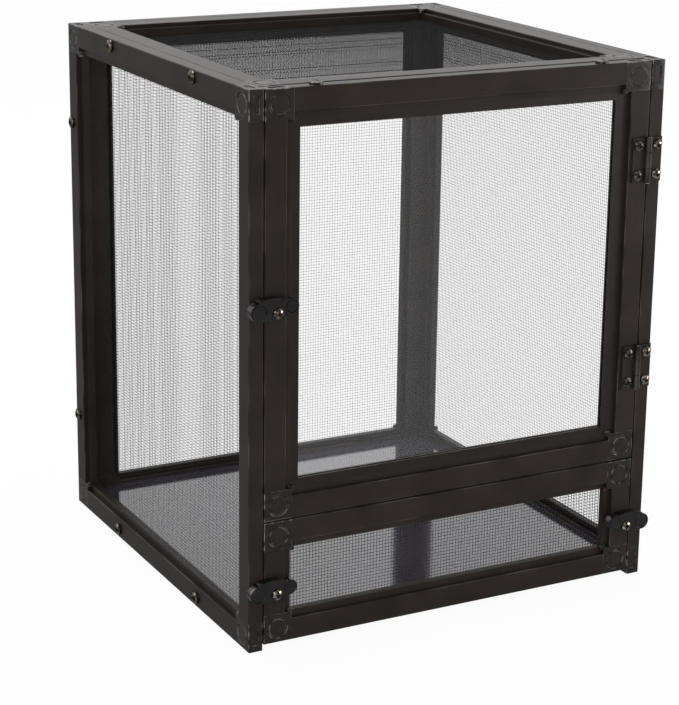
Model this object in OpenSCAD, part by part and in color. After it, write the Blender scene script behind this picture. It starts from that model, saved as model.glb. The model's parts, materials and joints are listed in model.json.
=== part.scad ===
// Screen-sided reptile cage: aluminium frames joined by plastic corner keys, with
// a clear hinged door above a lift-out door that keeps the substrate in.
// The front faces -Y, the feet stand on z = 0 and all lengths are in millimetres.

/* [Cage] */
// Width over the two side panels
cage_w = 254; // [200:1:420]
// Depth from the faces of the doors to the back of the cage
cage_d = 254; // [200:1:420]
// Height of the cage
cage_h = 304.8; // [270:0.1:520]
// Height of the floor panel above the feet
floor_lift = 1.2; // [0.5:0.1:3]
// Gap between the closed doors and the panels behind them
door_back_gap = 0.6; // [0.4:0.1:1.5]
// Distance from the cage's front and back to the side screws of the top and floor
side_screw_inset = 69; // [50:0.5:85]
// Distance from the cage's top and bottom to the screws of the back panel
back_screw_inset = 59.4; // [45:0.1:90]

/* [Frame bars] */
// Thickness of every framed panel
panel_t = 8.4; // [8.2:0.1:12]
// Width of the hollow tube along a bar
tube_w = 12.5; // [11.5:0.1:15]
// Wall of the tube
tube_wall = 1.1; // [0.8:0.1:1.5]
// Width of the lip beside the tube
lip_w = 4; // [3.6:0.1:5]
// Step from the tube's face back to the lip
lip_step = 2.5; // [1:0.1:3]
// Thickness of the lip
lip_t = 1.3; // [0.9:0.1:1.6]
// Distance from a panel's inner face down to the edge of its lip
lip_drop = 1.6; // [1.2:0.1:2.2]
// Radius along the tube's long edges
edge_r = 0.6; // [0.3:0.1:1]

/* [Corner keys] */
// Length of a key's legs inside the tubes
key_leg = 10; // [5:0.5:10]
// Clearance around a key's legs
key_clear = 0.15; // [0.1:0.05:0.3]
// Outer radius of the ring-shaped groove in a key's face
key_mark_r = 6; // [5.2:0.1:7]
// Inner radius of the groove in a key's face
key_hub_r = 5; // [2:0.1:5.6]
// Depth of the groove in a key's face
key_mark_d = 0.4; // [0.2:0.1:0.6]
// Radius of the knuckle at a key's inner corner
key_knuckle_r = 1.5; // [1:0.1:2]
// Length of the slot in a key's outer edges
key_slot_l = 9; // [6:0.1:10]
// Width of the slot in a key's outer edges
key_slot_w = 3.6; // [2:0.1:5]
// Depth of the slot in a key's outer edges
key_slot_d = 0.5; // [0.3:0.1:0.8]

/* [Screens and sheets] */
// Thickness of the woven screens
screen_t = 0.3; // [0.2:0.05:0.5]
// Number of openings along a screen's longer side
screen_cells = 12; // [4:1:12]
// Width of the bars between a screen's openings
screen_bar = 2.4; // [1:0.1:4]
// Thickness of the floor sheet
floor_t = 0.8; // [0.5:0.05:1]
// Clearance around the floor sheet
floor_clear = 0.3; // [0.2:0.1:1]
// Depth of the hem that is tucked into the groove
hem_d = 2.2; // [1.5:0.1:2.6]
// Clearance between a spline and its groove
spline_clear = 0.1; // [0.05:0.05:0.2]
// Gap between the end of a spline and the corner key
spline_gap = 0.3; // [0.1:0.1:1]
// Clearance of the hem in the corner keys
hem_clear = 0.2; // [0.1:0.05:0.4]

/* [Main door] */
// Thickness of the clear pane
pane_t = 2.2; // [1.5:0.1:2.6]
// Width of the gasket around the pane
gasket_w = 4.4; // [3:0.1:8]
// Thickness of the gasket in front of and behind the pane
gasket_t = 1.2; // [0.8:0.1:1.3]
// Thickness of the gasket at the pane's edge
gasket_web = 0.8; // [0.5:0.1:1.2]
// Gap between the ends of the gasket's strips
gasket_gap = 0.1; // [0.05:0.05:0.3]
// Clearance around the pane's edge
pane_clear = 0.3; // [0.2:0.1:0.6]
// Gap between a door's free edge and the side panel
door_gap = 0.7; // [0.5:0.1:1]
// Gap between the main door's hinged edge and the side panel
hinge_gap = 0.8; // [0.7:0.1:1.2]
// Gap between the two doors
door_split = 0.9; // [0.4:0.1:1.5]
// Distance from the cage's top down to the main door
door_drop = 0.3; // [0:0.1:1]
// Distance from the door's side edges to the screws on its top edge
top_screw_inset = 30.5; // [29:0.5:60]

/* [Lower door] */
// Height of the lower door above the feet
lower_lift = 3.1; // [2:0.1:8]
// Height of the lower door
lower_h = 69.4; // [60:0.1:110]

/* [Hinges] */
// Distance from each end of the main door to the middle of a hinge
hinge_inset = 55.3; // [35:0.1:75]
// Height of a hinge
hinge_h = 25.4; // [24:0.1:32]
// Reach of a leaf from the hinge axis
leaf_w = 9.6; // [9.2:0.1:9.8]
// Thickness of a leaf
leaf_t = 1; // [0.6:0.1:1.2]
// Distance of the hinge axis from the side panel's inner face
axis_inset = 1.5; // [1.3:0.1:1.7]
// Radius of the knuckles
knuckle_r = 1.8; // [1.6:0.1:2.2]
// Height of the door leaf's knuckle
door_knuckle_h = 9; // [7:0.5:12]
// Clearance between the moving parts of a hinge
hinge_clear = 0.3; // [0.2:0.05:0.4]
// Radius of a hinge pin
pin_r = 0.8; // [0.6:0.1:1.1]
// Running clearance of a hinge pin
pin_fit = 0.05; // [0.02:0.01:0.1]
// Radius of a hinge pin's heads
pin_head_r = 1.3; // [1.1:0.1:1.7]
// Height of a hinge pin's heads
pin_head_h = 0.5; // [0.3:0.1:1]
// Distance between the two screws of a leaf
leaf_screw_pitch = 16.8; // [15:0.1:18]
// Distance of a leaf's screws from the hinge axis
leaf_screw_x = 6.2; // [5.9:0.1:6.4]

/* [Latches] */
// Height of the lower latches' screws above the lower door's bottom edge
lower_latch_up = 30.3; // [28.5:0.1:45]
// Distance of a latch's screw from the door's side edge
latch_inset = 5.2; // [5:0.1:5.8]
// Thickness of a latch
latch_t = 5; // [4.5:0.1:6]
// Gap between a latch and the faces behind it
latch_gap = 0.3; // [0.2:0.1:0.5]
// Distance from the screw out to the middle of the ring end
ring_x = 10.8; // [10.4:0.1:11]
// Height of the ring's middle above the screw
ring_up = 1.2; // [0.8:0.1:2]
// Radius of the ring end
ring_r = 4.8; // [4.6:0.1:5.6]
// Distance from the screw in to the middle of the thumb tail
tail_x = 8; // [7:0.1:12]
// Height of the thumb tail's middle above the screw
tail_up = 3.1; // [2:0.1:4]
// Radius of the thumb tail
tail_r = 4; // [3.5:0.1:4.5]
// Radius of a latch's arched back
arch_r = 28; // [24:0.5:34]
// Height of the arch above the screw
arch_up = 8.3; // [7.6:0.1:9]
// Distance of the arch's crown out from the screw
arch_x = 2; // [0:0.1:3]
// Radius of the boss around the screw
boss_r = 3.3; // [3.1:0.1:3.6]
// Depth of the boss below the latch's face
boss_drop = 0.6; // [0.4:0.1:1]
// Width of the rim cleared around the boss
boss_rim = 0.2; // [0.1:0.1:0.4]
// Radius of the pegs that the rings drop over
peg_r = 2; // [1.5:0.1:2.3]
// Height of the pegs
peg_h = 2.9; // [2:0.1:3]
// Length of the pegs inside the side panels
peg_root = 5; // [3:0.5:8]
// Clearance around and in front of a peg
peg_clear = 0.4; // [0.3:0.05:0.5]
// Extra clearance around a peg with the latch closed
peg_relief = 0.1; // [0.05:0.05:0.2]
// Depth of the marks in a latch's face
latch_mark_d = 0.5; // [0.2:0.1:0.8]

/* [Screws] */
// Clearance of a screw in its hole
screw_clear = 0.05; // [0.02:0.01:0.1]
// Radius of a panel screw's head
panel_head_r = 3.6; // [3:0.1:4.2]
// Height of a panel screw's head
panel_head_h = 2.2; // [1.6:0.1:3]
// Radius of a panel screw's shank
panel_shank_r = 1.7; // [1.3:0.05:2]
// Length of a panel screw
panel_screw_l = 16; // [13:0.5:18]
// Length of the screws on the main door's top edge
top_screw_l = 8; // [5:0.5:10]
// Radius of a hinge screw's head
hinge_head_r = 2.9; // [2.5:0.1:3.2]
// Height of a hinge screw's head
hinge_head_h = 2; // [1.4:0.1:2.2]
// Radius of a hinge screw's shank
hinge_shank_r = 1.4; // [1:0.05:1.6]
// Length of a hinge screw
hinge_screw_l = 7; // [5:0.5:7.5]
// Radius of a latch screw's head
latch_head_r = 2.8; // [2.5:0.1:3]
// Height of a latch screw's head
latch_head_h = 2; // [1.4:0.1:2.4]
// Radius of a latch screw's shank
latch_shank_r = 1.6; // [1.2:0.05:1.8]
// Length of a latch screw inside the door
latch_screw_l = 6; // [4:0.5:7]

/* [Hidden] */

BRONZE = [0.20, 0.18, 0.165];
KEY_BLACK = [0.12, 0.12, 0.125];
MESH_BLACK = [0.09, 0.09, 0.09];
SHEET_GREY = [0.30, 0.29, 0.31];
CLEAR = [0.85, 0.88, 0.90, 0.35];
VINYL = [0.14, 0.13, 0.125];
NICKEL = [0.80, 0.76, 0.70];

key_w = tube_w + lip_w;         // side of a corner key
lip_back = panel_t - lip_drop;  // depth of the lip's edge, where a screen lies
latch_seat = latch_gap + latch_t - boss_drop + screw_clear;
front_reach = latch_seat + latch_head_h;
front_y = (front_reach - cage_d) / 2;
back_y = front_y + cage_d;

inner_w = cage_w - 2 * panel_t;
deck_y = front_y + panel_t + door_back_gap;
deck_d = back_y - panel_t - deck_y;

main_x = -inner_w / 2 + door_gap;
main_w = inner_w - door_gap - hinge_gap;
main_z = lower_lift + lower_h + door_split;
main_h = cage_h - door_drop - main_z;
lower_w = inner_w - 2 * door_gap;
gasket_v = lip_step;            // depth of the gasket's face
pane_v = gasket_v + gasket_t;   // depth of the pane's face

hinge_x = inner_w / 2 - axis_inset;
hinge_y = front_y - hinge_clear - knuckle_r;
hinge_zs = [main_z + hinge_inset, main_z + main_h - hinge_inset];
frame_knuckle_h = (hinge_h - door_knuckle_h) / 2 - hinge_clear;
leaf_x = knuckle_r + hinge_clear;

latch_x = -main_x - latch_inset;
main_latch_z = main_z + main_h / 2;
lower_latch_z = lower_lift + lower_latch_up;
ring_reach = norm([ring_x, ring_up]);
ring_a = 180 - atan2(ring_up, ring_x);
pocket_turn = 56;               // turn of a latch that frees its ring from the peg
mark_out = 0.88;                // outer and inner radius of the marks in a latch's
mark_in = 0.78;                 // face, as parts of the radius of its round ends
corner_steps = 4;
overlap = 0.5;                  // extra depth of cuts and joined solids

function corner(x, y, start, r = edge_r) = [for (i = [0:corner_steps])
  let (a = start + 90 * i / corner_steps) [x + r * cos(a), y + r * sin(a)]];

// A panel is drawn upright with its outer face on y = 0 and its thickness towards +Y,
// its width along X and its height along Z, then moved to its place.
module at_left() translate([-cage_w / 2, back_y, 0]) rotate([0, 0, -90]) children();
module at_right() translate([cage_w / 2, front_y, 0]) rotate([0, 0, 90]) children();
module at_back() translate([inner_w / 2, back_y, 0]) rotate([0, 0, 180]) children();
module at_top() translate([-inner_w / 2, deck_y, cage_h]) rotate([-90, 0, 0]) children();
module at_floor() translate([-inner_w / 2, deck_y + deck_d, floor_lift]) rotate([90, 0, 0]) children();
module at_main_door() translate([main_x, front_y, main_z]) children();
module at_lower_door() translate([-lower_w / 2, front_y, lower_lift]) children();

module turned() mirror([0, 0, 1]) rotate([0, 90, 0]) children();
module far_side(w) translate([w, 0, 0]) mirror([1, 0, 0]) children();
module upper_side(h) translate([0, 0, h]) mirror([0, 0, 1]) children();

// ---- frame bars ----
// Hollow tube with a lip whose edge is turned inwards and leaves a groove for a spline
module bar_section() difference() {
  polygon(concat(
    corner(edge_r, edge_r, 180),
    corner(tube_w - edge_r, edge_r, 270),
    [[tube_w, lip_step], [key_w, lip_step], [key_w, lip_back], [key_w - lip_t, lip_back],
     [key_w - lip_t, lip_step + lip_t], [tube_w, lip_step + lip_t]],
    corner(tube_w - edge_r, panel_t - edge_r, 0),
    corner(edge_r, panel_t - edge_r, 90)
  ));
  translate([tube_wall, tube_wall]) square([tube_w - 2 * tube_wall, panel_t - 2 * tube_wall]);
}

module left_bar(h) translate([0, 0, key_w]) linear_extrude(h - 2 * key_w) bar_section();
module right_bar(w, h) far_side(w) left_bar(h);
module low_bar(w) turned() left_bar(w);
module high_bar(w, h) upper_side(h) low_bar(w);

// ---- corner keys ----
module key_slab() linear_extrude(key_w) polygon(concat(
  corner(edge_r, edge_r, 180), [[key_w, 0], [key_w, panel_t]], corner(edge_r, panel_t - edge_r, 90)));

module key_legs() {
  wall = tube_wall + key_clear;
  translate([wall, wall, key_w - overlap])
    cube([tube_w - 2 * wall, panel_t - 2 * wall, key_leg + overlap]);
}

module key_slot() translate([(key_w - key_slot_l) / 2, (panel_t - key_slot_w) / 2, -overlap])
  cube([key_slot_l, key_slot_w, key_slot_d + overlap]);

module corner_key() difference() {
  union() {
    intersection() {
      key_slab();
      turned() key_slab();
    }
    key_legs();
    turned() key_legs();
    translate([key_w, overlap, key_w]) rotate([-90, 0, 0])
      cylinder(r = key_knuckle_r, h = lip_step - overlap, $fn = 32);
  }
  translate([key_w / 2, -overlap, key_w / 2]) rotate([-90, 0, 0]) difference() {
    cylinder(r = key_mark_r, h = key_mark_d + overlap, $fn = 48);
    cylinder(r = key_hub_r, h = key_mark_d + 2 * overlap, $fn = 48);
  }
  key_slot();
  turned() key_slot();
}

module all_corners(w, h) for (x = [0, 1], z = [0, 1])
  translate([x * w, 0, z * h]) mirror([x, 0, 0]) mirror([0, 0, z]) children();

// Keys of a screened panel are notched for the hem of a sheet
module screen_keys(w, h, t) {
  e = key_w - lip_t - t - hem_clear;
  all_corners(w, h) difference() {
    corner_key();
    translate([e, lip_back - hem_d - hem_clear, e]) cube([key_w, panel_t, key_w]);
  }
}

// ---- screens and splines ----
module sheet(w, h, t) {
  e = key_w - lip_t - t;
  difference() {
    translate([e, lip_back - hem_d, e]) cube([w - 2 * e, hem_d + t, h - 2 * e]);
    translate([e + t, lip_back - hem_d - overlap, e + t])
      cube([w - 2 * (e + t), hem_d + overlap, h - 2 * (e + t)]);
  }
}

// Sheet with a plain grid of openings, as many as fit evenly between the lips
module screen(w, h) {
  clear = [w - 2 * key_w, h - 2 * key_w];
  count = [for (c = clear) max(1, round(c * screen_cells / max(clear)))];
  cell = [clear[0] / count[0], clear[1] / count[1]];
  difference() {
    sheet(w, h, screen_t);
    for (i = [0:count[0] - 1], k = [0:count[1] - 1])
      translate([key_w + i * cell[0] + screen_bar / 2, lip_back - overlap, key_w + k * cell[1] + screen_bar / 2])
        cube([cell[0] - screen_bar, screen_t + 2 * overlap, cell[1] - screen_bar]);
  }
}

module splines(w, h, t) {
  r = (lip_w - lip_t - t - spline_clear) / 2;
  u = tube_w + spline_clear / 2 + r;
  v = lip_step + lip_t + r;
  end = key_w + spline_gap;
  for (x = [u, w - u]) translate([x, v, end]) cylinder(r = r, h = h - 2 * end, $fn = 24);
  for (z = [u, h - u]) translate([end, v, z]) rotate([0, 90, 0])
    cylinder(r = r, h = w - 2 * end, $fn = 24);
}

// ---- screws ----
// Pan-head screw with a cross recess, its head above z = 0
module pan_screw(head_r, head_h, shank_r, l) {
  rim = head_h / 2;
  dome_r = (head_r * head_r + (head_h - rim) * (head_h - rim)) / (2 * (head_h - rim));
  slot_l = head_r * 1.1;
  slot_w = head_r * 0.26;
  difference() {
    union() {
      translate([0, 0, -l]) cylinder(r = shank_r, h = l + rim, $fn = 32);
      intersection() {
        cylinder(r = head_r, h = head_h, $fn = 48);
        translate([0, 0, head_h - dome_r]) sphere(r = dome_r, $fn = 96);
      }
    }
    for (a = [0, 90]) rotate([0, 0, a])
      translate([-slot_l / 2, -slot_w / 2, head_h / 2]) cube([slot_l, slot_w, head_h]);
  }
}

module screw_hole(r, l) translate([0, 0, -l - screw_clear])
  cylinder(r = r + screw_clear, h = l + 2 * panel_t, $fn = 32);

module panel_screw() pan_screw(panel_head_r, panel_head_h, panel_shank_r, panel_screw_l);
module at_panel_screws() for (s = [-1, 1]) {
  for (y = [front_y + side_screw_inset, back_y - side_screw_inset],
       z = [floor_lift + panel_t / 2, cage_h - panel_t / 2])
    translate([s * cage_w / 2, y, z]) rotate([0, s * 90, 0]) children();
  for (z = [back_screw_inset, cage_h - back_screw_inset])
    translate([s * cage_w / 2, back_y - panel_t / 2, z]) rotate([0, s * 90, 0]) children();
}
module panel_screw_holes() at_panel_screws() screw_hole(panel_shank_r, panel_screw_l);

module at_top_screws() for (x = [top_screw_inset, main_w - top_screw_inset])
  translate([main_x + x, front_y + panel_t / 2, main_z + main_h]) children();

// ---- hinges ----
// s is 1 for the leaf on the side panel and -1 for the leaf on the door
module at_leaf_screws(s) for (z = hinge_zs, k = [-1, 1])
  translate([hinge_x + s * leaf_screw_x, front_y - leaf_t, z + k * leaf_screw_pitch / 2])
    rotate([90, 0, 0]) children();
module leaf_screws(s) at_leaf_screws(s) pan_screw(hinge_head_r, hinge_head_h, hinge_shank_r, hinge_screw_l);
module leaf_screw_holes(s) at_leaf_screws(s) screw_hole(hinge_shank_r, hinge_screw_l);

module leaf(s, knuckle_zs, h) difference() {
  union() {
    for (z = hinge_zs) {
      translate([s > 0 ? hinge_x + leaf_x : hinge_x - leaf_w, front_y - leaf_t, z - hinge_h / 2])
        cube([leaf_w - leaf_x, leaf_t, hinge_h]);
      for (k = knuckle_zs) {
        translate([hinge_x, hinge_y, z + k]) cylinder(r = knuckle_r, h = h, $fn = 48);
        translate([s > 0 ? hinge_x : hinge_x - leaf_x - overlap, front_y - leaf_t, z + k])
          cube([leaf_x + overlap, leaf_t - hinge_clear, h]);
      }
    }
  }
  for (z = hinge_zs) translate([hinge_x, hinge_y, z - hinge_h])
    cylinder(r = pin_r + pin_fit, h = 2 * hinge_h, $fn = 48);
  leaf_screw_holes(s);
}

// ---- latches ----
// Drawn in the plane of the door's face with the screw at the origin, the ring end
// towards -x and the thumb tail towards +x
module latch_outline() {
  tail_end = tail_x + tail_r * 0.15;
  translate([-ring_x, ring_up]) circle(r = ring_r, $fn = 64);
  translate([tail_x, tail_up]) circle(r = tail_r, $fn = 48);
  circle(r = boss_r, $fn = 48);
  intersection() {
    translate([-arch_x, arch_up - arch_r]) circle(r = arch_r, $fn = 180);
    polygon([[-ring_x, ring_up - ring_r], [-ring_x, arch_up * 1.5], [tail_end, arch_up * 1.5],
      [tail_end, tail_up - tail_r * 0.8], [boss_r * 0.4, -boss_r * 0.9], [-boss_r * 0.2, -boss_r * 0.98]]);
  }
}

// Hollow in the back that drops over a peg and leaves it as the ring is lifted
module peg_pocket() {
  r = peg_r + peg_clear;
  h = peg_h + peg_clear + overlap;
  translate([-ring_x, ring_up, -overlap]) cylinder(r = r + peg_relief, h = h + peg_relief, $fn = 48);
  translate([0, 0, -overlap]) rotate([0, 0, ring_a]) rotate_extrude(angle = pocket_turn, $fn = 96)
    translate([ring_reach - r, 0]) square([2 * r, h]);
}

module round_mark(x, up, r) translate([x, up, latch_t - latch_mark_d]) difference() {
  cylinder(r = r * mark_out, h = 2 * latch_mark_d, $fn = 64);
  cylinder(r = r * mark_in, h = 2 * latch_mark_d, $fn = 64);
}

module latch() translate([0, 0, latch_gap]) difference() {
  linear_extrude(latch_t) latch_outline();
  translate([0, 0, latch_t - boss_drop]) cylinder(r = boss_r + boss_rim, h = 2 * boss_drop, $fn = 48);
  translate([0, 0, -overlap]) cylinder(r = latch_shank_r + pin_fit, h = latch_t, $fn = 48);
  translate([0, 0, -latch_gap]) peg_pocket();
  round_mark(-ring_x, ring_up, ring_r);
  round_mark(tail_x, tail_up, tail_r);
}

module latch_screw() translate([0, 0, latch_seat])
  pan_screw(latch_head_r, latch_head_h, latch_shank_r, latch_seat + latch_screw_l);
module latch_peg() translate([-ring_x, ring_up, -peg_root])
  cylinder(r = peg_r, h = peg_root + peg_h, $fn = 48);

module at_latch(s, z) mirror([s > 0 ? 1 : 0, 0, 0])
  translate([-latch_x, front_y, z]) rotate([90, 0, 0]) children();
module latch_hole(s, z) at_latch(s, z) screw_hole(latch_shank_r, latch_screw_l);
module peg_hole(s, z) at_latch(s, z) translate([-ring_x, ring_up, 0]) screw_hole(peg_r, peg_root);

module drilled() difference() {
  children();
  panel_screw_holes();
}

// ---- left side panel ----
module left_side_front_stile() color(BRONZE) difference() {
  at_left() right_bar(cage_d, cage_h);
  peg_hole(-1, main_latch_z);
  peg_hole(-1, lower_latch_z);
}
module left_side_back_stile() color(BRONZE) drilled() at_left() left_bar(cage_h);
module left_side_top_rail() color(BRONZE) drilled() at_left() high_bar(cage_d, cage_h);
module left_side_bottom_rail() color(BRONZE) drilled() at_left() low_bar(cage_d);
module left_side_corner_keys() color(KEY_BLACK) at_left() screen_keys(cage_d, cage_h, screen_t);
module left_side_screen() color(MESH_BLACK) at_left() screen(cage_d, cage_h);

// ---- right side panel ----
module right_side_front_stile() color(BRONZE) difference() {
  at_right() left_bar(cage_h);
  peg_hole(1, lower_latch_z);
  leaf_screw_holes(1);
}
module right_side_back_stile() color(BRONZE) drilled() at_right() right_bar(cage_d, cage_h);
module right_side_top_rail() color(BRONZE) drilled() at_right() high_bar(cage_d, cage_h);
module right_side_bottom_rail() color(BRONZE) drilled() at_right() low_bar(cage_d);
module right_side_corner_keys() color(KEY_BLACK) at_right() screen_keys(cage_d, cage_h, screen_t);
module right_side_screen() color(MESH_BLACK) at_right() screen(cage_d, cage_h);

// ---- back panel ----
module back_panel_left_stile() color(BRONZE) drilled() at_back() right_bar(inner_w, cage_h);
module back_panel_right_stile() color(BRONZE) drilled() at_back() left_bar(cage_h);
module back_panel_top_rail() color(BRONZE) at_back() high_bar(inner_w, cage_h);
module back_panel_bottom_rail() color(BRONZE) at_back() low_bar(inner_w);
module back_panel_corner_keys() color(KEY_BLACK) at_back() screen_keys(inner_w, cage_h, screen_t);
module back_panel_screen() color(MESH_BLACK) at_back() screen(inner_w, cage_h);

// ---- top panel ----
module top_panel_left_rail() color(BRONZE) drilled() at_top() left_bar(deck_d);
module top_panel_right_rail() color(BRONZE) drilled() at_top() right_bar(inner_w, deck_d);
module top_panel_front_rail() color(BRONZE) at_top() low_bar(inner_w);
module top_panel_back_rail() color(BRONZE) at_top() high_bar(inner_w, deck_d);
module top_panel_corner_keys() color(KEY_BLACK) at_top() screen_keys(inner_w, deck_d, screen_t);
module top_panel_screen() color(MESH_BLACK) at_top() screen(inner_w, deck_d);

// ---- floor panel ----
module floor_panel_left_rail() color(BRONZE) drilled() at_floor() left_bar(deck_d);
module floor_panel_right_rail() color(BRONZE) drilled() at_floor() right_bar(inner_w, deck_d);
module floor_panel_front_rail() color(BRONZE) at_floor() high_bar(inner_w, deck_d);
module floor_panel_back_rail() color(BRONZE) at_floor() low_bar(inner_w);
module floor_panel_corner_keys() color(KEY_BLACK) at_floor() all_corners(inner_w, deck_d) corner_key();

// Loose sheet that lies on the bars of the floor panel
module floor_sheet() color(SHEET_GREY)
  translate([floor_clear - inner_w / 2, deck_y + floor_clear, floor_lift + panel_t])
    cube([inner_w - 2 * floor_clear, deck_d - 2 * floor_clear, floor_t]);

module screen_splines() color(VINYL) {
  at_left() splines(cage_d, cage_h, screen_t);
  at_right() splines(cage_d, cage_h, screen_t);
  at_back() splines(inner_w, cage_h, screen_t);
  at_top() splines(inner_w, deck_d, screen_t);
}

// ---- main door ----
module main_door_latch_stile() color(BRONZE) difference() {
  at_main_door() left_bar(main_h);
  latch_hole(-1, main_latch_z);
}
module main_door_hinge_stile() color(BRONZE) difference() {
  at_main_door() right_bar(main_w, main_h);
  leaf_screw_holes(-1);
}
module main_door_top_rail() color(BRONZE) difference() {
  at_main_door() high_bar(main_w, main_h);
  at_top_screws() screw_hole(panel_shank_r, top_screw_l);
}
module main_door_bottom_rail() color(BRONZE) at_main_door() low_bar(main_w);
module main_door_corner_keys() color(KEY_BLACK) at_main_door() all_corners(main_w, main_h) corner_key();

module main_door_pane() color(CLEAR) {
  e = key_w + gasket_web + pane_clear;
  at_main_door() translate([e, pane_v, e]) cube([main_w - 2 * e, pane_t, main_h - 2 * e]);
}

// U-shaped strips around the pane; the upright ones stand between the others
module gasket_strip(l) difference() {
  cube([gasket_w, 2 * gasket_t + pane_t, l]);
  translate([gasket_web, gasket_t, -overlap]) cube([gasket_w, pane_t, l + 2 * overlap]);
}
module main_door_gasket() color(VINYL) at_main_door() {
  upright_z = key_w + gasket_w + gasket_gap;
  for (x = [0, 1]) translate([x * main_w, 0, 0]) mirror([x, 0, 0])
    translate([key_w, gasket_v, upright_z]) gasket_strip(main_h - 2 * upright_z);
  for (z = [0, 1]) translate([0, 0, z * main_h]) mirror([0, 0, z])
    translate([key_w, gasket_v, key_w]) turned() gasket_strip(main_w - 2 * key_w);
}
module main_door_top_screws() color(NICKEL) at_top_screws()
  pan_screw(panel_head_r, panel_head_h, panel_shank_r, top_screw_l);

// ---- lower door ----
module lower_door_left_stile() color(BRONZE) difference() {
  at_lower_door() left_bar(lower_h);
  latch_hole(-1, lower_latch_z);
}
module lower_door_right_stile() color(BRONZE) difference() {
  at_lower_door() right_bar(lower_w, lower_h);
  latch_hole(1, lower_latch_z);
}
module lower_door_top_rail() color(BRONZE) at_lower_door() high_bar(lower_w, lower_h);
module lower_door_bottom_rail() color(BRONZE) at_lower_door() low_bar(lower_w);
module lower_door_corner_keys() color(KEY_BLACK) at_lower_door() screen_keys(lower_w, lower_h, screen_t);
module lower_door_screen() color(MESH_BLACK) at_lower_door() screen(lower_w, lower_h);
module lower_door_splines() color(VINYL) at_lower_door() splines(lower_w, lower_h, screen_t);

// ---- latches, hinges and screws in place ----
module main_door_latch() color(KEY_BLACK) at_latch(-1, main_latch_z) latch();
module lower_door_left_latch() color(KEY_BLACK) at_latch(-1, lower_latch_z) latch();
module lower_door_right_latch() color(KEY_BLACK) at_latch(1, lower_latch_z) latch();
module main_door_latch_screw() color(NICKEL) at_latch(-1, main_latch_z) latch_screw();
module lower_door_latch_screws() color(NICKEL) for (s = [-1, 1]) at_latch(s, lower_latch_z) latch_screw();
module latch_pegs() color(NICKEL) {
  at_latch(-1, main_latch_z) latch_peg();
  for (s = [-1, 1]) at_latch(s, lower_latch_z) latch_peg();
}

module hinge_frame_leaves() color(BRONZE)
  leaf(1, [-hinge_h / 2, hinge_h / 2 - frame_knuckle_h], frame_knuckle_h);
module hinge_door_leaves() color(BRONZE) leaf(-1, [-door_knuckle_h / 2], door_knuckle_h);
module hinge_pins() color(NICKEL) for (z = hinge_zs) translate([hinge_x, hinge_y, z]) {
  translate([0, 0, -hinge_h / 2]) cylinder(r = pin_r, h = hinge_h, $fn = 48);
  for (k = [0, 1]) mirror([0, 0, k]) translate([0, 0, hinge_h / 2])
    cylinder(r = pin_head_r, h = pin_head_h, $fn = 32);
}
module hinge_frame_screws() color(NICKEL) leaf_screws(1);
module hinge_door_screws() color(KEY_BLACK) leaf_screws(-1);
module panel_screws() color(NICKEL) at_panel_screws() panel_screw();

left_side_front_stile();
left_side_back_stile();
left_side_top_rail();
left_side_bottom_rail();
left_side_corner_keys();
left_side_screen();
right_side_front_stile();
right_side_back_stile();
right_side_top_rail();
right_side_bottom_rail();
right_side_corner_keys();
right_side_screen();
back_panel_left_stile();
back_panel_right_stile();
back_panel_top_rail();
back_panel_bottom_rail();
back_panel_corner_keys();
back_panel_screen();
top_panel_left_rail();
top_panel_right_rail();
top_panel_front_rail();
top_panel_back_rail();
top_panel_corner_keys();
top_panel_screen();
floor_panel_left_rail();
floor_panel_right_rail();
floor_panel_front_rail();
floor_panel_back_rail();
floor_panel_corner_keys();
floor_sheet();
screen_splines();
main_door_latch_stile();
main_door_hinge_stile();
main_door_top_rail();
main_door_bottom_rail();
main_door_corner_keys();
main_door_pane();
main_door_gasket();
lower_door_left_stile();
lower_door_right_stile();
lower_door_top_rail();
lower_door_bottom_rail();
lower_door_corner_keys();
lower_door_screen();
lower_door_splines();
main_door_latch();
lower_door_left_latch();
lower_door_right_latch();
main_door_latch_screw();
lower_door_latch_screws();
latch_pegs();
hinge_frame_leaves();
hinge_door_leaves();
hinge_pins();
hinge_frame_screws();
hinge_door_screws();
panel_screws();
main_door_top_screws();
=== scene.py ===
import json
import math
import bmesh
import bpy
import numpy as np
from mathutils import Matrix, Vector


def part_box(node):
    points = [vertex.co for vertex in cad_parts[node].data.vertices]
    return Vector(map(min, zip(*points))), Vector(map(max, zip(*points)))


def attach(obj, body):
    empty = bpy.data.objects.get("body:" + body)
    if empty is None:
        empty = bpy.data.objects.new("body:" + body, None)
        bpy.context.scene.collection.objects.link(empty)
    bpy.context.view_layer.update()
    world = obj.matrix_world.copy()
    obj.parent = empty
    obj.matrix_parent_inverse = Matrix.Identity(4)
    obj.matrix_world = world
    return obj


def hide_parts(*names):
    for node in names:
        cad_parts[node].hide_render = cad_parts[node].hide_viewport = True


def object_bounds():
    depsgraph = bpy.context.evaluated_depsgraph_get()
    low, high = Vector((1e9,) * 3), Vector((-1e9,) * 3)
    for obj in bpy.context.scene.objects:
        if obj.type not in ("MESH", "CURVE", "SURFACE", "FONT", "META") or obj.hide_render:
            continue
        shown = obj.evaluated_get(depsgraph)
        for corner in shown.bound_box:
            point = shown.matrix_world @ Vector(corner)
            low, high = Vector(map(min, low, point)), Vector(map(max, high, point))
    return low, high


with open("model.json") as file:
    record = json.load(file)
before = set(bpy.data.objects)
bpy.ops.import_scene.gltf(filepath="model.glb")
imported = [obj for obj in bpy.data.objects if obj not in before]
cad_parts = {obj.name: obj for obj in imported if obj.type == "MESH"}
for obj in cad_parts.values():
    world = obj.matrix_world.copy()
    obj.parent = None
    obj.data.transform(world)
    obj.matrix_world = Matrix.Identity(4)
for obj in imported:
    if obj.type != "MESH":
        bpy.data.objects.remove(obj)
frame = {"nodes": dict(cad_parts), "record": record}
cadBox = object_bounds()
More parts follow.
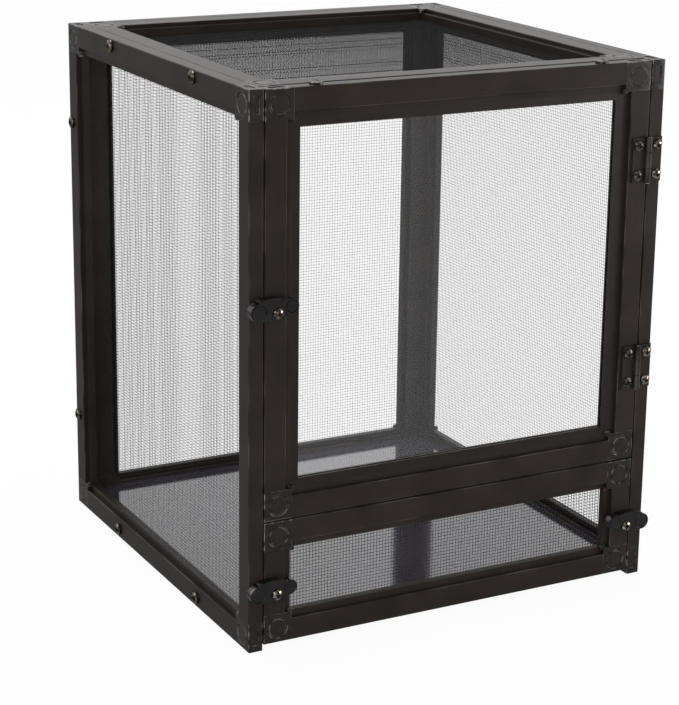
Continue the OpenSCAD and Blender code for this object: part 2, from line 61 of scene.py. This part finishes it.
mm = 0.001
nodes = frame["nodes"]
bodyOf = {name: body for body, names in frame["record"]["behaviour"]["bodies"].items() for name in names}
print("frame loaded:", len(nodes), "nodes")


# ---- camera, lamps and floor ----

# place in millimetres, angles in degrees, shift as a share of the picture's long side, clip in metres
camera = {"place": (-567.94, -1060.88, 484.36), "yaw": 28.61, "pitch": 15.702, "roll": 0.957, "lens": 107.4,
          "shift": (-0.0426, -0.0638), "clip": (0.05, 60)}


def placeCamera(view):
    yaw, pitch, roll = (math.radians(view[key]) for key in ("yaw", "pitch", "roll"))
    ahead = Vector((math.sin(yaw) * math.cos(pitch), math.cos(yaw) * math.cos(pitch), -math.sin(pitch)))
    side = Vector((math.cos(yaw), -math.sin(yaw), 0))
    up = side.cross(ahead)
    turned = Matrix((math.cos(roll) * side + math.sin(roll) * up,
                     math.cos(roll) * up - math.sin(roll) * side, -ahead))
    data = bpy.data.cameras.new("camera")
    data.lens = view["lens"]  # for a 36 mm sensor along the picture's long side
    data.shift_x, data.shift_y = view["shift"]
    data.clip_start, data.clip_end = view["clip"]
    obj = bpy.data.objects.new("camera", data)
    obj.matrix_world = Matrix.Translation(Vector(view["place"]) * mm) @ turned.transposed().to_4x4()
    bpy.context.collection.objects.link(obj)
    bpy.context.scene.camera = obj


placeCamera(camera)

lamps = {  # place and aim in metres, size in metres, power in watts
    "leftBox": {"place": (-1.3, -1.5, 0.9), "aim": (0.05, 0, 0.15), "size": 0.9, "power": 9},
    "rightBox": {"place": (1.2, -0.75, 0.2), "aim": (0.05, 0, 0.12), "size": 0.6, "power": 9},
    "topBox": {"place": (0.2, 0.9, 2.2), "aim": (0, 0, 0.2), "size": 1.8, "power": 34},
}


def placeLamps(lamps):
    for name, lamp in lamps.items():
        data = bpy.data.lights.new(name, "AREA")
        data.energy, data.size = lamp["power"], lamp["size"]
        obj = bpy.data.objects.new(name, data)
        aim = Vector(lamp["aim"]) - Vector(lamp["place"])
        obj.matrix_world = (Matrix.Translation(lamp["place"])
                            @ aim.to_track_quat("-Z", "Y").to_matrix().to_4x4())
        bpy.context.collection.objects.link(obj)


placeLamps(lamps)
print("camera and lamps set")


# ---- materials ----

warmGloss = (1.0, 0.94, 0.92, 1.0)  # the faint brown of the anodised and moulded pieces' highlights
toneStops = (0.3, 0.7)  # levels of the noise that give the darker and the lighter tone
grainShare = 0.3  # of the fine noise in the tone
# an edge keeps its tone at "flat" and takes the edge colour at "rounded", in spots where the slow noise rises
# between the last two levels: painted highlights along the rounded edges, partly wear
wearAndGlint = {"flat": 0.99, "rounded": 0.9, "spotsFrom": 0.45, "spotsFull": 0.65}


def linear(hexCode):  # sRGB hex to linear RGBA
    part = np.array([int(hexCode[i:i + 2], 16) / 255 for i in (1, 3, 5)])
    part = np.where(part <= 0.04045, part / 12.92, ((part + 0.055) / 1.055) ** 2.4)
    return (*part.tolist(), 1.0)


def addNode(tree, kind, values=None, links=None, **settings):
    node = tree.nodes.new("ShaderNode" + kind)
    for key, value in settings.items():
        setattr(node, key, value)
    for key, value in (values or {}).items():
        node.inputs[key].default_value = value
    for key, source in (links or {}).items():
        tree.links.new(source, node.inputs[key])
    return node


def newMaterial(name, **values):  # a Principled material, its tree and its shader
    material = bpy.data.materials.new(name)
    material.use_nodes = True
    shader = material.node_tree.nodes["Principled BSDF"]
    for key, value in values.items():
        shader.inputs[key].default_value = value
    return material, material.node_tree, shader


def dressSurface(tree, shader, look):
    # Two noises on Object coordinates, their sizes in millimetres: a slow one for the tone and a fine
    # one for the gloss and the relief; in spots, where the surface faces along no axis, a lighter edge
    # colour paints highlights on the rounded edges, which also stand for wear
    place = addNode(tree, "TexCoord")
    stretch = addNode(tree, "Mapping", {"Scale": look.get("stretch", (1, 1, 1))},
                      {"Vector": place.outputs["Object"]})
    slow = addNode(tree, "TexNoise", {"Scale": 1000 / look["patch"], "Detail": 2.0},
                   {"Vector": place.outputs["Object"]})
    fine = addNode(tree, "TexNoise", {"Scale": 1000 / look["grain"], "Detail": 3.0},
                   {"Vector": stretch.outputs["Vector"]})
    mixed = addNode(tree, "Mix", {"Factor": grainShare}, {"A": slow.outputs["Fac"], "B": fine.outputs["Fac"]},
                    data_type="FLOAT")
    ramp = addNode(tree, "ValToRGB", links={"Fac": mixed.outputs["Result"]})
    for stop, at, tone in zip(ramp.color_ramp.elements, toneStops, look["tones"]):
        stop.position, stop.color = at, linear(tone)
    colour = ramp.outputs["Color"]
    # The edge colour paints highlights and glints onto the rounded edges, in spots, and also stands for wear
    if "edge" in look:
        facing = addNode(tree, "VectorMath", links={0: place.outputs["Normal"]}, operation="ABSOLUTE")
        parts = addNode(tree, "SeparateXYZ", links={0: facing.outputs["Vector"]})
        most = addNode(tree, "Math", links={0: parts.outputs["X"], 1: parts.outputs["Y"]},
                       operation="MAXIMUM")
        most = addNode(tree, "Math", links={0: most.outputs[0], 1: parts.outputs["Z"]}, operation="MAXIMUM")
        roundedEdge = addNode(tree, "MapRange", {"From Min": wearAndGlint["flat"], "From Max": wearAndGlint["rounded"]},
                       {"Value": most.outputs[0]})
        spots = addNode(tree, "MapRange", {"From Min": wearAndGlint["spotsFrom"], "From Max": wearAndGlint["spotsFull"]},
                        {"Value": slow.outputs["Fac"]})
        edgeGlintAndWear = addNode(tree, "Math", links={0: roundedEdge.outputs["Result"], 1: spots.outputs["Result"]},
                         operation="MULTIPLY")
        blend = addNode(tree, "MixRGB", {"Color2": linear(look["edge"])},
                        {"Fac": edgeGlintAndWear.outputs[0], "Color1": colour})
        colour = blend.outputs["Color"]
    tree.links.new(colour, shader.inputs["Base Color"])
    low, high = look["rough"]
    gloss = addNode(tree, "MapRange", {"To Min": low, "To Max": high}, {"Value": fine.outputs["Fac"]})
    tree.links.new(gloss.outputs["Result"], shader.inputs["Roughness"])
    relief = addNode(tree, "Bump", {"Distance": look["relief"] * mm, "Strength": look.get("strength", 0.4)},
                     {"Height": fine.outputs["Fac"]})
    tree.links.new(relief.outputs["Normal"], shader.inputs["Normal"])


def anodisedAluminium(axis):
    # Extruded aluminium, bronze anodised: satin, with faint die lines along the bar, a slow change
    # of tone from the dye bath and a lighter colour along the rounded edges, a painted highlight that also
    # stands for wear
    material, tree, shader = newMaterial("bronzeAnodisedAluminium" + "XYZ"[axis], **{
        "Specular IOR Level": 0.16, "Specular Tint": warmGloss})
    lines = {"width": 0.6, "length": 60}
    dressSurface(tree, shader, {
        "tones": ("#251F1C", "#302A26"), "patch": 25, "grain": lines["width"], "rough": (0.29, 0.4),
        "stretch": [lines["width"] / lines["length"] if k == axis else 1 for k in range(3)],
        "relief": 0.01, "edge": "#544D48"})
    return material


def mouldedNylon():
    # Glass-filled nylon, injection moulded and dyed near the bars' tone: matt, with a fine eroded grain;
    # the lighter edge colour paints glints in spots along its edges, partly wear
    material, tree, shader = newMaterial("mouldedGlassFilledNylon", **{
        "Specular IOR Level": 0.3, "Specular Tint": warmGloss})
    dressSurface(tree, shader, {"tones": ("#1E1B1A", "#2A2625"), "patch": 4, "grain": 1.6,
                                "rough": (0.24, 0.4),
                                "relief": 0.12, "strength": 0.6, "edge": "#8A8480"})
    return material


def mouldedAbs():
    # Charcoal ABS from a polished mould: smooth and glossy, with a slight wave and flow marks;
    # the light edge colour paints highlights along its rounded edges, partly wear
    material, tree, shader = newMaterial("mouldedCharcoalAbs", **{"Specular IOR Level": 0.42})
    dressSurface(tree, shader, {"tones": ("#131111", "#1E1B1B"), "patch": 9, "grain": 3,
                                "rough": (0.16, 0.28),
                                "relief": 0.12, "strength": 0.5, "edge": "#8A8582"})
    return material


def coatedWire():
    # Black polyester on aluminium wire: dull, a little brighter where the coat is thin
    material, tree, shader = newMaterial("polyesterCoatedWire", **{"Specular IOR Level": 0.12})
    dressSurface(tree, shader, {"tones": ("#0C0B0B", "#181716"), "patch": 3, "grain": 1,
                                "rough": (0.42, 0.58),
                                "relief": 0.002})
    return material


def pvcSheet():
    # Lilac-grey calendered PVC with a glazed face: nearly flat, with soft ripples from the rollers,
    # so that it mirrors the light behind the screens
    material, tree, shader = newMaterial("calenderedPvcSheet", **{
        "Specular IOR Level": 1.0, "Coat Weight": 1.0, "Coat IOR": 1.65, "Coat Roughness": 0.08})
    dressSurface(tree, shader, {"tones": ("#423F49", "#4F4B56"), "patch": 60, "grain": 40,
                                "rough": (0.08, 0.16),
                                "stretch": (1, 0.4, 1), "relief": 0.1, "strength": 0.25})
    return material


def extrudedVinyl(name, tones, rough):
    # Flexible vinyl, extruded: satin, with light scuffs where it was pressed in
    material, tree, shader = newMaterial(name, **{"Specular IOR Level": 0.3, "Specular Tint": warmGloss})
    dressSurface(tree, shader, {"tones": tones, "patch": 12, "grain": 2.5, "rough": rough, "relief": 0.02})
    return material


def platedSteel():
    # Nickel-plated steel: bright and warm, with fine tool marks; the near-white edge colour paints glints on
    # its edges
    material, tree, shader = newMaterial("nickelPlatedSteel", Metallic=1.0)
    dressSurface(tree, shader, {"tones": ("#3E362E", "#786C60"), "patch": 1.5, "grain": 0.5,
                                "rough": (0.08, 0.22),
                                "relief": 0.02, "edge": "#EFE7DB"})
    return material


def dulledNickel():
    # The same plating gone dull on the panel screws: grey-brown, with small glints painted on its edges by a
    # lighter edge colour
    material, tree, shader = newMaterial("dulledNickelSteel", Metallic=1.0)
    dressSurface(tree, shader, {"tones": ("#3A342E", "#5E564C"), "patch": 2, "grain": 0.6,
                                "rough": (0.16, 0.34),
                                "relief": 0.02, "edge": "#A39A8C"})
    return material


def blackenedSteel():
    # Black oxide on steel: near black with a soft metal sheen and glints painted along its edges by a lighter
    # edge colour
    material, tree, shader = newMaterial("blackOxideSteel", Metallic=0.6)
    dressSurface(tree, shader, {"tones": ("#1B1A19", "#302D2A"), "patch": 1.2, "grain": 0.5,
                                "rough": (0.2, 0.36),
                                "relief": 0.01, "edge": "#8B857C"})
    return material


def lacqueredSteel():
    # Black lacquer on steel: black and glossy, so that only small glints stand out; more glints are painted
    # along its edges by a grey edge colour
    material, tree, shader = newMaterial("blackLacqueredSteel", **{"Specular IOR Level": 0.3})
    dressSurface(tree, shader, {"tones": ("#0D0C0C", "#1A1817"), "patch": 1.5, "grain": 0.8,
                                "rough": (0.12, 0.26),
                                "relief": 0.03, "edge": "#6E6861"})
    return material


def clearAcrylic():
    # Cast acrylic: clear and polished, with faint wiping marks in its gloss
    material, tree, shader = newMaterial("castClearAcrylic", **{
        "Base Color": (1, 1, 1, 1), "IOR": 1.49, "Transmission Weight": 1.0})
    wipe = {"patch": 25, "rough": 0.02}
    place = addNode(tree, "TexCoord")
    wiped = addNode(tree, "TexNoise", {"Scale": 1000 / wipe["patch"], "Detail": 2.0},
                    {"Vector": place.outputs["Object"]})
    gloss = addNode(tree, "MapRange", {"To Min": 0.0, "To Max": wipe["rough"]},
                    {"Value": wiped.outputs["Fac"]})
    tree.links.new(gloss.outputs["Result"], shader.inputs["Roughness"])
    rays = addNode(tree, "LightPath")
    through = addNode(tree, "BsdfTransparent")
    # Shadow rays go straight through, so that the pane lets the lamps in
    mix = addNode(tree, "MixShader", links={0: rays.outputs["Is Shadow Ray"], 1: shader.outputs["BSDF"],
                                            2: through.outputs["BSDF"]})
    tree.links.new(mix.outputs["Shader"], tree.nodes["Material Output"].inputs["Surface"])
    return material


barFinish = [anodisedAluminium(axis) for axis in range(3)]
finish = {
    "key_plastic": mouldedNylon(), "latch_plastic": mouldedAbs(), "woven_screen": coatedWire(),
    "floor_sheet": pvcSheet(),
    "spline": extrudedVinyl("blackVinylSpline", ("#141313", "#211F1E"), (0.5, 0.62)),
    "gasket": extrudedVinyl("bronzeVinylGasket", ("#1B1715", "#241F1C"), (0.34, 0.48)),
    "clear_pane": clearAcrylic(), "black_steel": blackenedSteel(), "nickel_steel": platedSteel(),
}
nodeFinish = {"panel_screws": dulledNickel(), "main_door_top_screws": lacqueredSteel()}
slotOf = {part["node"]: part["material_slot"] for part in frame["record"]["subparts"]}


def finishFor(name):
    if name in nodeFinish or slotOf[name] in finish:
        return nodeFinish.get(name) or finish[slotOf[name]]
    low, high = (np.array(corner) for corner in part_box(name))
    return barFinish[int(np.argmax(high - low))]


for name, obj in nodes.items():
    obj.data.materials.clear()
    obj.data.materials.append(finishFor(name))
print("materials set")


# ---- floor and backdrop ----

# half the floor's side in metres, its fibre in millimetres, the share of it that is plain white, how
# bright gloss sees the floor and the room, where the room turns into the backdrop, and the soft fill
studio = {"size": 8.0, "fibre": 1.0, "whiteShare": 0.95, "floorInGloss": 0.3, "roomInGloss": 0.3,
          "roomEnds": -0.2, "backdropStarts": 0.4, "fill": 0.5}


def paleStage():
    size = studio["size"]
    mesh = bpy.data.meshes.new("studioFloor")
    corners = [(-size, -size, 0), (size, -size, 0), (size, size, 0), (-size, size, 0)]
    mesh.from_pydata(corners, [], [(0, 1, 2, 3)])
    floor = bpy.data.objects.new("studioFloor", mesh)
    bpy.context.collection.objects.link(floor)
    # Matt paper: the lens and glass see most of it as plain white and gloss sees that part dimmed,
    # and a shadow stays in the rest
    material, tree, shader = newMaterial("mattStudioPaper", Roughness=0.9)
    place = addNode(tree, "TexCoord")
    fibre = addNode(tree, "TexNoise", {"Scale": 1000 / studio["fibre"]}, {"Vector": place.outputs["Object"]})
    ramp = addNode(tree, "ValToRGB", links={"Fac": fibre.outputs["Fac"]})
    for stop, tone in zip(ramp.color_ramp.elements, ("#F1F0EF", "#F6F5F4")):
        stop.color = linear(tone)
    tree.links.new(ramp.outputs["Color"], shader.inputs["Base Color"])
    rays = addNode(tree, "LightPath")
    seen = addNode(tree, "Math", links={0: rays.outputs["Is Camera Ray"], 1: rays.outputs["Is Glossy Ray"]},
                   operation="MAXIMUM")
    seen = addNode(tree, "Math", links={0: seen.outputs[0], 1: rays.outputs["Is Transmission Ray"]},
                   operation="MAXIMUM")
    part = addNode(tree, "Math", {1: studio["whiteShare"]}, {0: seen.outputs[0]}, operation="MULTIPLY")
    mirrored = addNode(tree, "Math", operation="SUBTRACT",
                       links={0: rays.outputs["Is Glossy Ray"], 1: rays.outputs["Is Transmission Ray"]})
    level = addNode(tree, "MapRange", {"To Min": 1.0, "To Max": studio["floorInGloss"]},
                    {"Value": mirrored.outputs[0]})
    white = addNode(tree, "Emission", {"Color": (1, 1, 1, 1)}, {"Strength": level.outputs["Result"]})
    mix = addNode(tree, "MixShader",
                  links={0: part.outputs[0], 1: shader.outputs["BSDF"], 2: white.outputs[0]})
    tree.links.new(mix.outputs["Shader"], tree.nodes["Material Output"].inputs["Surface"])
    mesh.materials.append(material)

    # White backdrop: the lens and glass see it all round, and gloss sees it behind the cage (+Y)
    # and a dimmer room in front of it
    world = bpy.data.worlds.new("studioWorld")
    bpy.context.scene.world = world
    world.use_nodes = True
    tree = world.node_tree
    rays = addNode(tree, "LightPath")
    place = addNode(tree, "TexCoord")
    way = addNode(tree, "SeparateXYZ", links={0: place.outputs["Generated"]})
    backdrop = addNode(tree, "MapRange",
                       {"From Min": studio["roomEnds"], "From Max": studio["backdropStarts"],
                        "To Min": studio["roomInGloss"]}, {"Value": way.outputs["Y"]})
    glossy = addNode(tree, "Math", links={0: rays.outputs["Is Glossy Ray"], 1: backdrop.outputs["Result"]},
                     operation="MULTIPLY")
    seen = addNode(tree, "Math", operation="MAXIMUM",
                   links={0: rays.outputs["Is Camera Ray"], 1: rays.outputs["Is Transmission Ray"]})
    seen = addNode(tree, "Math", links={0: seen.outputs[0], 1: glossy.outputs[0]}, operation="MAXIMUM")
    light = addNode(tree, "Math", {1: studio["fill"]}, {0: rays.outputs["Is Diffuse Ray"]},
                    operation="MULTIPLY")
    level = addNode(tree, "Math", links={0: seen.outputs[0], 1: light.outputs[0]}, operation="MAXIMUM")
    tree.links.new(level.outputs[0], tree.nodes["Background"].inputs["Strength"])
    tree.nodes["Background"].inputs["Color"].default_value = (1, 1, 1, 1)


paleStage()
bpy.context.scene.view_settings.view_transform = "Standard"
print("floor and backdrop set")


# ---- pieces ----

def addPiece(name, mesh, body, slotName, material, *replaced):
    obj = bpy.data.objects.new(name, mesh)
    bpy.context.collection.objects.link(obj)
    mesh.materials.clear()
    mesh.materials.append(material)
    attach(obj, body)
    if replaced:
        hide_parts(*replaced)
    return obj


# lengths in millimetres; "rest" and "lift" count in the wire's radius
wire = {"pitch": 1.88, "sides": 6, "hem": 2.0, "inset": 0.15, "stray": 0.02, "bends": 16,
        "rest": 1.6, "lift": 0.35}
chance = np.random.default_rng(4)


def wirePath(length, hem):
    # A straight run whose two ends turn down into the grooves: along the run, below it
    run = np.linspace(0, length, wire["bends"])
    return np.array([[0, -hem], *([at, 0] for at in run), [length, -hem]])


def screenMesh(name, low, high, depthAxis, inward, thickness):
    # Each wire is a round profile carried along its path; wires along one side of the sheet lie
    # about a third of a thickness above those along the other, as in a weave pressed flat
    flat = [axis for axis in range(3) if axis != depthAxis]
    r = thickness * mm / 2
    turn = np.linspace(0, 2 * np.pi, wire["sides"], endpoint=False)
    depth = high[depthAxis] - low[depthAxis]
    seat = (low if inward > 0 else high)[depthAxis] + inward * (depth - r * wire["rest"])
    points, faces, start = [], [], 0
    for k, along in enumerate(flat):
        across = flat[1 - k]
        edge = wire["inset"] * mm
        count = int((high[across] - low[across] - 2 * edge) / (wire["pitch"] * mm)) + 1
        spare = (high[across] - low[across] - (count - 1) * wire["pitch"] * mm) / 2
        lanes = low[across] + spare + np.arange(count) * wire["pitch"] * mm
        path = wirePath(high[along] - low[along] - 2 * edge, wire["hem"] * mm)
        ring = np.zeros((count, len(path), len(turn), 3))
        # No woven wire runs quite straight; the outermost two do, which keeps them inside the sheet
        astray = chance.uniform(-1, 1, (count, len(path))) * wire["stray"] * mm
        astray[[0, -1]] = 0
        ring[..., across] = (lanes[:, None] + astray)[..., None] + r * np.cos(turn)
        tilt = np.zeros((2, len(path), 1))  # the profile's own up, along the run and away from the hem
        tilt[0, [0, 1]], tilt[0, [-2, -1]], tilt[1, 1:-1] = 1, -1, -1
        shift, rise = tilt * r * np.sin(turn)
        ring[..., along] = low[along] + edge + path[:, 0][:, None] + shift
        layer = seat + inward * (wire["lift"] * r if k else -wire["lift"] * r)
        ring[..., depthAxis] = layer + inward * (path[:, 1][:, None] - rise)
        n, m, s = ring.shape[:3]
        index = np.arange(n * m * s).reshape(n, m, s) + start
        a, b = index[:, :-1], index[:, 1:]
        quads = np.stack([a, np.roll(a, -1, 2), np.roll(b, -1, 2), b], -1).reshape(-1, 4)
        points.append(ring.reshape(-1, 3))
        faces += quads.tolist() + index[:, 0, ::-1].tolist() + index[:, -1].tolist()
        start += n * m * s
    mesh = bpy.data.meshes.new(name)
    mesh.from_pydata(np.concatenate(points).tolist(), [], faces)
    work = bmesh.new()
    work.from_mesh(mesh)
    bmesh.ops.recalc_face_normals(work, faces=work.faces)
    work.to_mesh(mesh)
    work.free()
    mesh.shade_smooth()
    return mesh


# screens: the axis through the sheet, the way into the cage along it and the wire's thickness
screens = {
    "left_side_screen": (0, 1, 0.17), "right_side_screen": (0, -1, 0.19), "back_panel_screen": (1, -1, 0.19),
    "top_panel_screen": (2, -1, 0.26), "lower_door_screen": (1, 1, 0.28),
}
for name, (axis, inward, thickness) in screens.items():
    low, high = (np.array(corner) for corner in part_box(name))
    mesh = screenMesh(name + "_wires", low, high, axis, inward, thickness)
    addPiece(name + "_wires", mesh, bodyOf[name], "woven_screen", finish["woven_screen"], name)
print("screens woven")


# the gap that is welded in metres, then angles in degrees: faces that are one, shading, bevelled edges
weld = {"gap": 1e-6, "flat": 1.0, "sharp": 32, "bevelled": 40}
rounding = {"_corner_keys": (0.35, 2), "_latch": (0.45, 3), "_leaves": (0.2, 2)}  # radius in mm, segments


def mergedCopy(name, source):  # one welded mesh with whole flat faces, from a CAD node's triangles
    mesh = source.data.copy()
    mesh.name = name
    work = bmesh.new()
    work.from_mesh(mesh)
    bmesh.ops.remove_doubles(work, verts=work.verts, dist=weld["gap"])
    bmesh.ops.dissolve_limit(work, angle_limit=math.radians(weld["flat"]), verts=work.verts, edges=work.edges)
    work.to_mesh(mesh)
    work.free()
    if "custom_normal" in mesh.attributes:
        mesh.attributes.remove(mesh.attributes["custom_normal"])
    mesh.shade_smooth()
    mesh.set_sharp_from_angle(angle=math.radians(weld["sharp"]))
    return mesh


def soften(name, radius, segments):
    mesh = mergedCopy(name + "_soft", nodes[name])
    obj = addPiece(name + "_soft", mesh, bodyOf[name], slotOf[name], finishFor(name), name)
    bevel = obj.modifiers.new("edges", "BEVEL")
    bevel.width, bevel.segments = radius * mm, segments
    bevel.limit_method, bevel.angle_limit = "ANGLE", math.radians(weld["bevelled"])
    bevel.harden_normals = True


for name in nodes:
    for ending, (radius, segments) in rounding.items():
        if name.endswith(ending):
            soften(name, radius, segments)
print("edges softened")

low, high = cadBox
